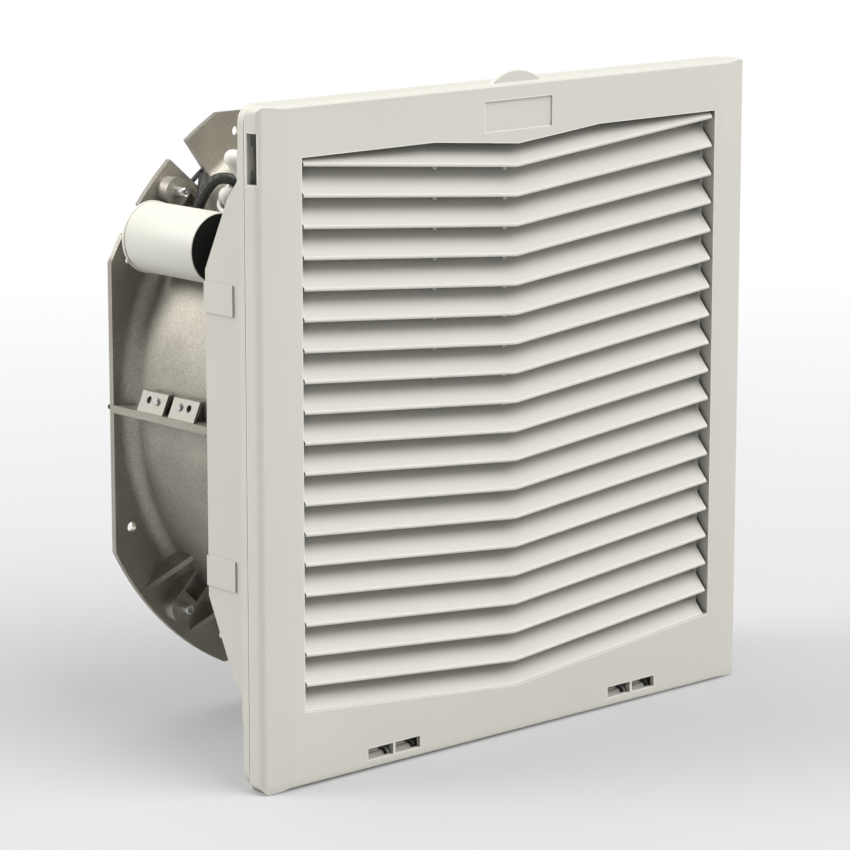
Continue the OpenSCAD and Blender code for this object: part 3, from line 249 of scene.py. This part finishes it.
# Mounting frame
# One injection moulding in light grey ABS: the flange, the stepped hood, its pads and its screw bosses.
# It is smoother than the cover, because it is seen only from the side.
frame_abs = moulded("light grey ABS, satin", "#bfbdb3")
dress(["mounting_frame"], frame_abs, 0.35 * mm)

# Panel latches
# Four arms in the same ABS as the frame, with the soft gloss of a plain tool.
# Each turns on its pin and grips behind the panel edge.
latch_abs = moulded("light grey ABS, natural gloss", "#bdbbb0", 1.4)
dress(["latch_left_top", "latch_left_bottom", "latch_right_top", "latch_right_bottom"], latch_abs, 0.25 * mm)

# Mat grid
# A flat moulded grille between mat and fan, a little darker and duller than the frame.
# It rests on the corner floors of the hood.
dress(["mat_grid"], moulded("light grey ABS, matt", "#b6b4aa", 1.2))

# Hinge clips
# Four eyes of natural nylon, milky and slightly yellow, with stiffening ribs.
# They are pushed into the frame behind the windows of the cover.
dress(["hinge_clips"], moulded("natural nylon", "#cbc9bf", 1.1))

# Lead cup
# A round moulded cup of white nylon, seated on the duct.
# It keeps the lead joints out of the air stream.
nylon = moulded("white nylon", "#cfcdc4")
dress(["lead_cup"], nylon, 0.8 * mm)

# Crimp caps
# Closed caps of glossy white nylon, pressed over the joined wire ends inside the cup.
dress(["splice_caps"], moulded("white nylon, glossy", "#d2d0c8", 2.4))

# Capacitor washer
# A disc of the same white nylon with a small locating nub.
# The nut clamps it between the can and its foot.
dress(["capacitor_washer"], nylon)


# Fan casting
# Die cast aluminium, left as cast: the duct, both flanges, the webs and the corner bosses.
# The metal chilled in patches, which leaves a mottled grey skin with a fine grain.
def cast_metal(name, dark, light):
    """Metal as cast: grains of 0.8 mm, drawn coarser than real so that they show, in flows of 17 mm."""
    mat = new_material(name)
    place = add(mat, "ShaderNodeTexCoord").outputs["Object"]
    grain = add(mat, "ShaderNodeTexNoise", {"Scale": 1300, "Detail": 3, "Roughness": 0.6}, Vector=place)
    flow = add(mat, "ShaderNodeTexNoise", {"Scale": 60, "Detail": 2}, Vector=place)
    both = add(mat, "ShaderNodeMix", {0: 0.22}, i2=grain.outputs["Fac"], i3=flow.outputs["Fac"])
    ramp = add(mat, "ShaderNodeValToRGB", Fac=both.outputs[0])
    for stop, at, colour in zip(ramp.color_ramp.elements, (0.24, 0.76), (dark, light)):
        stop.position = at
        stop.color = linear(colour)
    bump = add(mat, "ShaderNodeBump", {"Strength": 0.4, "Distance": 0.15 * mm}, Height=grain.outputs["Fac"])
    rough = add(mat, "ShaderNodeMapRange", {"To Min": 0.38, "To Max": 0.62}, Value=grain.outputs["Fac"])
    return finish_material(mat, add(mat, "ShaderNodeBsdfPrincipled", {"Metallic": 0.85},
        **{"Base Color": ramp.outputs[0], "Roughness": rough.outputs[0], "Normal": bump.outputs[0]}))


casting = cast_metal("die cast aluminium", "#79746b", "#bbb7ac")
dress(["fan_housing"], casting, 0.4 * mm)


# Cable saddles
# Two folded strips of dull zinc plated sheet on the left web, each riveted through its side.
# A cable tie goes through their holes.
def plated(name, colour, rough=0.36, lines=0.0):
    """Plated, turned or ground metal: clouds of 6 mm and, where asked, cut or stacked lines along Y.

    The lines lie 0.314 m apart divided by their number: 320 gives the leaves of a core at 1 mm,
    which is twice the real 0.5 mm, so that they show.
    """
    mat = new_material(name)
    place = add(mat, "ShaderNodeTexCoord").outputs["Object"]
    cloud = add(mat, "ShaderNodeTexNoise", {"Scale": 180, "Detail": 4}, Vector=place)
    tint = add(mat, "ShaderNodeMapRange", {"To Min": 0.86, "To Max": 1.1}, Value=cloud.outputs["Fac"])
    paint = add(mat, "ShaderNodeMix", {
        "data_type": "RGBA", "blend_type": "MULTIPLY", 0: 1, 6: linear(colour)}, i7=tint.outputs[0])
    gloss = add(mat, "ShaderNodeMapRange", {
        "To Min": rough - 0.08, "To Max": rough + 0.1}, Value=cloud.outputs["Fac"])
    height = cloud.outputs["Fac"]
    if lines:
        height = add(mat, "ShaderNodeTexWave", {
            "bands_direction": "Y", "Scale": lines, "Distortion": 0.4}, Vector=place).outputs["Fac"]
    bump = add(mat, "ShaderNodeBump", {"Strength": 0.35, "Distance": 0.1 * mm}, Height=height)
    return finish_material(mat, add(mat, "ShaderNodeBsdfPrincipled", {"Metallic": 0.9},
        **{"Base Color": paint.outputs[2], "Roughness": gloss.outputs[0], "Normal": bump.outputs[0]}))


dress(["cable_saddles"], plated("dull zinc sheet", "#94918a", 0.5), 0.3 * mm)

# Motor mount
# A die cast disc with the bearing tube, turned where the bearings and the core sit.
# Four screws hold it to the plate of the guard.
dress(["motor_flange"], plated("machined die cast alloy", "#9c9d9d", 0.42, 240), 0.4 * mm)

# Stator core
# A stack of dark electrical steel leaves, 0.5 mm thick, pressed on the bearing tube.
dress(["stator_core"], plated("laminated electrical steel", "#77787a", 0.5, 320))

# Rotor cage
# A ring of steel leaves with cast bars between them, pressed into the rotor cup.
dress(["rotor_cage"], plated("laminated steel with cast bars", "#808183", 0.45, 320))

# Stator winding
# Enamelled copper wire, wound through the core and bound at both of its ends.
# The turns show as fine glossy lines.
dress(["stator_winding"], plated("enamelled copper wire", "#b0642e", 0.32, 200), 1.2 * mm)

# Shaft
# A ground steel shaft, bright and smooth.
# It is pressed into the rotor cup and runs in both bearings.
ground = plated("ground bearing steel", "#c6c9cc", 0.22)
dress(["rotor_shaft"], ground, 0.25 * mm)

# Hinge and latch pins
# Drawn steel rods, cut to length: two in the bead of the cover, and one through each latch.
dress(["hinge_pins", "latch_pins"], plated("drawn steel rod", "#bdbfc0", 0.3), 0.2 * mm)

# Capacitor foot
# Folded sheet behind the can, bright with zinc plating.
# One screw holds it to the rear flange.
zinc = plated("bright zinc plated steel", "#c9cac8", 0.3)
dress(["capacitor_bracket"], zinc, 0.3 * mm)

# Capacitor nut
# A zinc plated hexagon nut on the stud of the can, which clamps the foot and the washer.
dress(["capacitor_nut"], zinc, 0.3 * mm)

# Rotor cup
# Deep drawn steel in black satin paint, turning round the stator.
satin = moulded("black satin paint", "#161718", 1.5)
dress(["rotor_cup"], satin, 0.4 * mm)

# Impeller
# A carrier band with seven pressed steel blades, welded to the cup and painted with it.
dress(["impeller"], satin, 0.25 * mm)

# Capacitor seal
# Black resin, cast into the open end of the can round both leads.
dress(["capacitor_seal"], moulded("black cast resin", "#040404", 2))


# Guard screws
# Four long zinc plated steel screws through the guard tabs and the corner bosses of the fan.
# Their socket heads sit at the rear, and their drilled ends stand out of the bosses in front.
def settle(piece, mat, node_names, body="base"):
    """Applies what is left to apply, gives the piece its material, hangs it under what carries it and hides
    the CAD nodes it stands for.
    """
    pick(piece)
    bpy.ops.object.transform_apply(location=True, rotation=True, scale=True)
    for m in list(piece.modifiers):
        bpy.ops.object.modifier_apply(modifier=m.name)
    piece.data.materials.clear()
    piece.data.materials.append(mat)
    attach(piece, body)
    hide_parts(*node_names)


def joined(pieces, name):
    """Makes several pieces one, under a new name."""
    pick(*pieces)
    bpy.ops.object.join()
    whole = bpy.context.object
    whole.name = name
    return whole


def turned(name, section, places, mat, node):
    """Sweeps a half section (radius, depth), in millimetres, round an axis along Y at every place (x, z)."""
    mesh = bpy.data.meshes.new(name)
    points = [(r * mm, y * mm, 0) for r, y in section]
    mesh.from_pydata(points, [(i, i + 1) for i in range(len(section) - 1)], [])
    copies = []
    for x, z in places:
        one = bpy.data.objects.new(name, mesh.copy())
        bpy.context.scene.collection.objects.link(one)
        pick(one)
        sweep = one.modifiers.new("sweep", "SCREW")
        sweep.axis = "Y"
        sweep.steps = sweep.render_steps = 40
        # Only the ends on the axis merge, so the distance is far under any step of a section
        sweep.use_merge_vertices = True
        sweep.merge_threshold = 0.001 * mm
        bpy.ops.object.modifier_apply(modifier=sweep.name)
        one.location = (x * mm, 0, z * mm)
        copies.append(one)
    whole = joined(copies, name)
    bpy.ops.object.mode_set(mode="EDIT")
    bpy.ops.mesh.select_all(action="SELECT")
    bpy.ops.mesh.normals_make_consistent(inside=False)
    bpy.ops.object.mode_set(mode="OBJECT")
    settle(whole, mat, [node])
    bpy.ops.object.shade_smooth_by_angle(angle=math.radians(32))


def corners(reach):
    """Four places on the diagonals of the fan, at a distance from its axis."""
    side = reach * math.sqrt(0.5)
    return [(side, side), (-side, side), (-side, -side), (side, -side)]


corner_reach = 148
guard_screw = [(0, 110.8), (1.3, 110.8), (1.5, 109.2), (1.9, 109), (2.4, 109.5), (2.4, 128.4), (4.2, 128.4),
    (4.2, 131), (3.5, 132), (1.9, 132), (1.7, 130.2), (0, 130)]
turned("guard_screw_set", guard_screw, corners(corner_reach), zinc, "guard_screws")

# Housing screws
# Four zinc plated steel screws with socket heads.
# They hold the front flange of the fan to the bosses of the hood.
housing_screw = [(0, 33.1), (2, 33.1), (2.4, 33.6), (2.4, 49), (4.2, 49), (4.2, 51.6), (3.5, 52.6),
    (1.9, 52.6), (1.7, 50.8), (0, 50.6)]
turned("housing_screw_set", housing_screw, corners(corner_reach), zinc, "housing_screws")

# Motor screws
# Four zinc plated steel screws with low round heads, from the guard plate into the motor mount.
motor_reach = 27
motor_screw = [(0, 121.1), (1.6, 121.1), (2, 121.5), (2, 128.4), (3.6, 128.4), (3.4, 129.6), (2.4, 130.4),
    (1.2, 130.4), (1.1, 129.4), (0, 129.3)]
turned("motor_screw_set", motor_screw, corners(motor_reach), zinc, "motor_screws")

# Earthing screw
# A plain brass screw, warm yellow among the grey metals.
# It stands in its own hole of the rear flange, with its head on the front side.
earth_reach, earth_turn = 147.5, math.radians(33)
earth = (earth_reach * math.cos(earth_turn), earth_reach * math.sin(earth_turn))
earth_screw = [(0, 122), (1.2, 122), (1.4, 120.4), (3.6, 120.4), (4.6, 121.4), (4.6, 123), (2, 123),
    (2, 128.2), (1.6, 128.6), (0, 128.6)]
brass = plated("plain brass", "#b6924a", 0.28)
turned("earth_screw_turned", earth_screw, [earth], brass, "earth_screw")

# Foot screw
# One zinc plated steel screw, driven from the rear flange into the capacitor foot.
# Its place is counted from the axis of the capacitor.
cap_reach, cap_turn = 149.3, math.radians(145.5)
cap_x, cap_z = cap_reach * math.cos(cap_turn), cap_reach * math.sin(cap_turn)
foot_place = (cap_x + 10.85, cap_z + 9)
foot_screw = [(0, 121.2), (1.3, 121.2), (1.5, 121.5), (1.5, 126), (2.8, 126), (2.6, 127), (1.8, 127.5),
    (0.9, 127.5), (0.8, 126.8), (0, 126.8)]
turned("bracket_screw_turned", foot_screw, [foot_place], zinc, "bracket_screw")

# Bearings
# Two ball bearings of ground steel, with shields set back between their rings.
# They are pressed into the ends of the bearing tube.
for name, near in (("bearing_front", 67.7), ("bearing_rear", 110)):
    ring_section = [(4.02, near + 0.4), (4.4, near), (6, near), (6.2, near + 0.7), (8.8, near + 0.7),
        (9, near), (10.6, near), (11, near + 0.4), (11, near + 6.6), (10.6, near + 7), (9, near + 7),
        (8.8, near + 6.3), (6.2, near + 6.3), (6, near + 7), (4.4, near + 7), (4.02, near + 6.6),
        (4.02, near + 0.4)]
    turned(name + "_rings", ring_section, [(0, 0)], ground, name)

# Saddle rivets
# Two zinc plated steel rivets, one through the leaning side of each saddle.
dress(["saddle_rivets"], zinc, 0.3 * mm)

# Panel gasket
# Closed cell foam ring, laid in the back of the flange and pressed against the panel.
# It has soft round edges and a dull skin with pores of 1 mm, drawn coarser than real so that they show.
foam = new_material("black foam rubber")
place = add(foam, "ShaderNodeTexCoord").outputs["Object"]
pores = add(foam, "ShaderNodeTexVoronoi", {"Scale": 900}, Vector=place)
pits = add(foam, "ShaderNodeBump", {"Strength": 0.6, "Distance": 0.3 * mm}, Height=pores.outputs["Distance"])
shade = add(foam, "ShaderNodeValToRGB", Fac=pores.outputs["Distance"])
shade.color_ramp.elements[0].color = linear("#1d1e1e")
shade.color_ramp.elements[1].color = linear("#3b3c3c")
finish_material(foam, add(foam, "ShaderNodeBsdfPrincipled", {"Roughness": 0.85, "IOR": 1.5},
    **{"Base Color": shade.outputs[0], "Normal": pits.outputs[0]}))


def copy_of(node, name):
    """A merged copy of a CAD node's mesh, to be worked on as a piece of its own."""
    made = bpy.data.objects.new(name, nodes[node].data.copy())
    bpy.context.scene.collection.objects.link(made)
    pick(made)
    bpy.ops.mesh.customdata_custom_splitnormals_clear()
    bpy.ops.object.mode_set(mode="EDIT")
    bpy.ops.mesh.select_all(action="SELECT")
    bpy.ops.mesh.remove_doubles(threshold=merge_gap)
    bpy.ops.mesh.dissolve_limited(angle_limit=flat_angle)
    bpy.ops.object.mode_set(mode="OBJECT")
    return made


gasket = copy_of("panel_gasket", "foam_gasket")
soft_edge = gasket.modifiers.new("soft edge", "BEVEL")
soft_edge.width = 0.9 * mm
soft_edge.segments = 4
settle(gasket, foam, ["panel_gasket"])
bpy.ops.object.shade_smooth_by_angle(angle=math.radians(50))

# Filter mat
# Bonded polyester fibre, cut square and laid on the grid.
# It is a lofted pad with a felted, uneven face and soft cut edges.
mat_cuts = 72
low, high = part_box("filter_mat")
bpy.ops.object.select_all(action="DESELECT")
bpy.ops.mesh.primitive_cube_add(size=1, location=(low + high) / 2)
mat_pad = bpy.context.object
mat_pad.name = "filter_mat_pad"
mat_pad.scale = high - low
bpy.ops.object.transform_apply(location=True, rotation=True, scale=True)
bpy.ops.object.mode_set(mode="EDIT")
bpy.ops.mesh.select_all(action="SELECT")
bpy.ops.mesh.subdivide(number_cuts=mat_cuts)
bpy.ops.object.mode_set(mode="OBJECT")
middle, half = (low + high) / 2, (high - low) / 2
# The outer share of each face falls away by the fall of the edge, and the outermost by its fray
edge_from, edge_fall = 0.96, 3.4 * mm
fray_from, fray_depth = 0.98, 0.9 * mm
# Tufts of 4 mm on waves of 11 mm, and a frayed edge of 3 mm, as counts a metre
tuft_depth, tuft_rate, wave_rate, fray_rate = 1.1 * mm, 260, 90, 300
for v in mat_pad.data.vertices:
    across = [abs(v.co[k] - middle[k]) / half[k] for k in range(3)]
    rim = max(across[0], across[2])
    crown = max(0, (rim - edge_from) / (1 - edge_from)) ** 2 * edge_fall
    tuft = 0.5 + 0.5 * noise.noise(v.co * tuft_rate) + 0.35 * noise.noise(v.co * wave_rate)
    side = 1 if v.co.y > middle.y else -1
    depth = crown + tuft_depth * max(0, min(1.3, tuft))
    if across[1] > 0.5:
        v.co.y -= side * depth * (across[1] - 0.5) * 2
    for k in (0, 2):
        if across[k] > fray_from:
            v.co[k] -= math.copysign(fray_depth * abs(noise.noise(v.co * fray_rate)), v.co[k] - middle[k])
# Loose fibres in wisps of 2 mm: dull, with a soft sheen at a low angle
fibre = new_material("bonded polyester fibre")
place = add(fibre, "ShaderNodeTexCoord").outputs["Object"]
strands = add(fibre, "ShaderNodeTexNoise", {
    "Scale": 420, "Detail": 6, "Roughness": 0.7, "Distortion": 1.6}, Vector=place)
tone = add(fibre, "ShaderNodeValToRGB", Fac=strands.outputs["Fac"])
for stop, at, colour in zip(tone.color_ramp.elements, (0.3, 0.62), ("#8f8e86", "#cfcec5")):
    stop.position = at
    stop.color = linear(colour)
felt = add(fibre, "ShaderNodeBump", {"Strength": 0.8, "Distance": 0.6 * mm}, Height=strands.outputs["Fac"])
finish_material(fibre, add(fibre, "ShaderNodeBsdfPrincipled", {
    "Roughness": 0.95, "Sheen Weight": 0.25, "IOR": 1.45},
    **{"Base Color": tone.outputs[0], "Normal": felt.outputs[0]}))
settle(mat_pad, fibre, ["filter_mat"])
bpy.ops.object.shade_smooth()

# Wire guard
# Round steel wire bent into rings and welded to eight spokes, with a plate and four corner tabs.
# The whole guard is powder coated black and held by the guard screws.
wire_r, guard_y, rings, ring_out, ring_step = 1.2 * mm, 127.2 * mm, 7, 137 * mm, 13.2857 * mm
parts = []
for k in range(rings):
    bpy.ops.mesh.primitive_torus_add(
        major_segments=128, minor_segments=12, major_radius=ring_out - k * ring_step, minor_radius=wire_r,
        location=(0, guard_y, 0), rotation=(math.pi / 2, 0, 0))
    parts.append(bpy.context.object)
spoke_in, spoke_out, weld_depth = 41.6 * mm, 138 * mm, 0.4 * mm
spoke_middle, spoke_y = (spoke_in + spoke_out) / 2, guard_y + 2 * wire_r - weld_depth
for k in range(8):
    turn = k * math.pi / 4
    bpy.ops.mesh.primitive_cylinder_add(
        vertices=16, radius=wire_r, depth=spoke_out - spoke_in,
        location=(spoke_middle * math.cos(turn), spoke_y, spoke_middle * math.sin(turn)),
        rotation=(0, math.pi / 2 - turn, 0))
    parts.append(bpy.context.object)
plate_r, plate_t = 44 * mm, 2.4 * mm
bpy.ops.mesh.primitive_cylinder_add(
    vertices=128, radius=plate_r, depth=plate_t, location=(0, guard_y, 0), rotation=(math.pi / 2, 0, 0))
parts.append(bpy.context.object)
tab_reach, tab_length, tab_width = 145.5 * mm, 17 * mm, 12 * mm
for k in range(4):
    turn = math.pi / 4 + k * math.pi / 2
    bpy.ops.mesh.primitive_cube_add(
        size=1, location=(tab_reach * math.cos(turn), guard_y, tab_reach * math.sin(turn)),
        rotation=(0, -turn, 0))
    tab = bpy.context.object
    tab.scale = (tab_length, plate_t, tab_width)
    bpy.ops.object.transform_apply(location=False, rotation=False, scale=True)
    parts.append(tab)
# The plate and the four tabs, which come last, have pressed edges
for part in parts[-5:]:
    pressed = part.modifiers.new("pressed edge", "BEVEL")
    pressed.width = 0.6 * mm
    pressed.segments = 3
    pressed.limit_method = "ANGLE"
    pick(part)
    bpy.ops.object.modifier_apply(modifier=pressed.name)
guard = joined(parts, "wire_guard")
coat = moulded("black powder coat", "#1d1e1e", 1.4)
settle(guard, coat, ["rear_guard"])
bpy.ops.object.shade_smooth_by_angle(angle=math.radians(40))


# Motor lead and capacitor leads
# Stranded wires in black varnished glass fibre sleeving. The thick one runs from the motor through the
# gap in the flange into the cup, and the two thin ones from the capacitor into the cup.
def around(angle, r, y):
    """A point at an angle round the fan axis, a radius and a depth, in millimetres."""
    a = math.radians(angle)
    return (r * math.cos(a), y, r * math.sin(a))


# Where each thin lead leaves the seal, counted from the axis of the capacitor
seal_a, seal_b = (cap_x + 6, cap_z + 1.4), (cap_x + 2.5, cap_z - 2.1)
motor_route = [
    around(127, 34, 122.7), around(127, 50, 122.7), around(127, 75, 122.7),
    around(127, 100, 122.7), around(127, 120, 122.6), around(127, 130, 122.4),
    around(127.3, 136, 121.3), around(128.2, 139.2, 117.5), around(130.1, 139.8, 113),
    around(132.7, 139.4, 109.2), around(135.3, 139.8, 105.6), around(136.5, 141.8, 101.8),
    around(135.6, 145, 98.4), around(133.6, 148.2, 95.4), around(131.6, 150.2, 91.4),
    around(130.4, 148.6, 86.8), around(129.7, 143.5, 84), around(129.65, 136, 83.5)]
lead_route_a = [
    (seal_a[0], 63, seal_a[1]), (seal_a[0], 57.5, seal_a[1]),
    around(141, 147, 54.5), around(138.7, 148.8, 57.5), around(137, 149.8, 63.5),
    around(135.8, 149.6, 69.8), around(134.8, 146.6, 74.6), around(134.4, 136, 76.2)]
lead_route_b = [
    (seal_b[0], 63, seal_b[1]), (seal_b[0], 55.5, seal_b[1]),
    around(142.5, 148.5, 51.5), around(138.5, 152, 54), around(136, 153, 60.5),
    around(134, 151.8, 66), around(132, 144.6, 69.6), around(132, 136, 70.2)]
motor_lead_r, thin_lead_r = 2.8 * mm, 1.2 * mm


def lay(route, radius, name):
    """A round lead along a smooth curve through the points of its route, with six steps to a point."""
    last, steps = len(route) - 1, 6
    path = []
    for i in range(last):
        a, b, c, d = (Vector(route[max(0, min(last, i + k))]) for k in (-1, 0, 1, 2))
        for j in range(steps):
            t = j / steps
            path.append(
                b + (c - a) * t / 2 + (2 * a - 5 * b + 4 * c - d) * t * t / 2
                + (3 * b - a - 3 * c + d) * t**3 / 2)
    path.append(Vector(route[-1]))
    line = bpy.data.curves.new(name, "CURVE")
    line.dimensions = "3D"
    spline = line.splines.new("POLY")
    spline.points.add(len(path) - 1)
    for point, at in zip(spline.points, path):
        point.co = (*(at * mm), 1)
    line.bevel_depth = radius
    line.bevel_resolution = 4
    line.use_fill_caps = True
    made = bpy.data.objects.new(name, line)
    bpy.context.scene.collection.objects.link(made)
    pick(made)
    bpy.ops.object.convert(target="MESH")
    return bpy.context.object


# Braid of 1.4 mm, drawn coarser than real so that it shows, with the half gloss of its varnish
sleeve = new_material("varnished glass fibre sleeve")
place = add(sleeve, "ShaderNodeTexCoord").outputs["Object"]
braid = add(sleeve, "ShaderNodeTexVoronoi", {"Scale": 700}, Vector=place)
cross = add(sleeve, "ShaderNodeBump", {
    "Strength": 0.7, "Distance": 0.4 * mm}, Height=braid.outputs["Distance"])
worn = add(sleeve, "ShaderNodeValToRGB", Fac=braid.outputs["Distance"])
worn.color_ramp.elements[0].color = linear("#0d0d0c")
worn.color_ramp.elements[1].color = linear("#34322d")
finish_material(sleeve, add(sleeve, "ShaderNodeBsdfPrincipled", {"Roughness": 0.5, "IOR": 1.5},
    **{"Base Color": worn.outputs[0], "Normal": cross.outputs[0]}))
settle(lay(motor_route, motor_lead_r, "motor_lead_sleeve"), sleeve, ["motor_lead"])
bpy.ops.object.shade_smooth_by_angle(angle=math.radians(50))
thin = [lay(route, thin_lead_r, "thin_lead") for route in (lead_route_a, lead_route_b)]
settle(joined(thin, "capacitor_lead_pair"), sleeve, ["capacitor_leads"])
bpy.ops.object.shade_smooth_by_angle(angle=math.radians(50))

# Capacitor can
# A moulded case of white polypropylene, plain and smooth, with rounded ends.
# Its stud goes through the washer and the foot into the nut.
can = copy_of("capacitor_can", "white_can")
can_edge = can.modifiers.new("round end", "BEVEL")
can_edge.width = 0.5 * mm
can_edge.segments = 3
can_edge.limit_method = "ANGLE"
case = moulded("white polypropylene, smooth", "#c9c8be", 3)
settle(can, case, ["capacitor_can"])
bpy.ops.object.shade_smooth_by_angle(angle=math.radians(40))
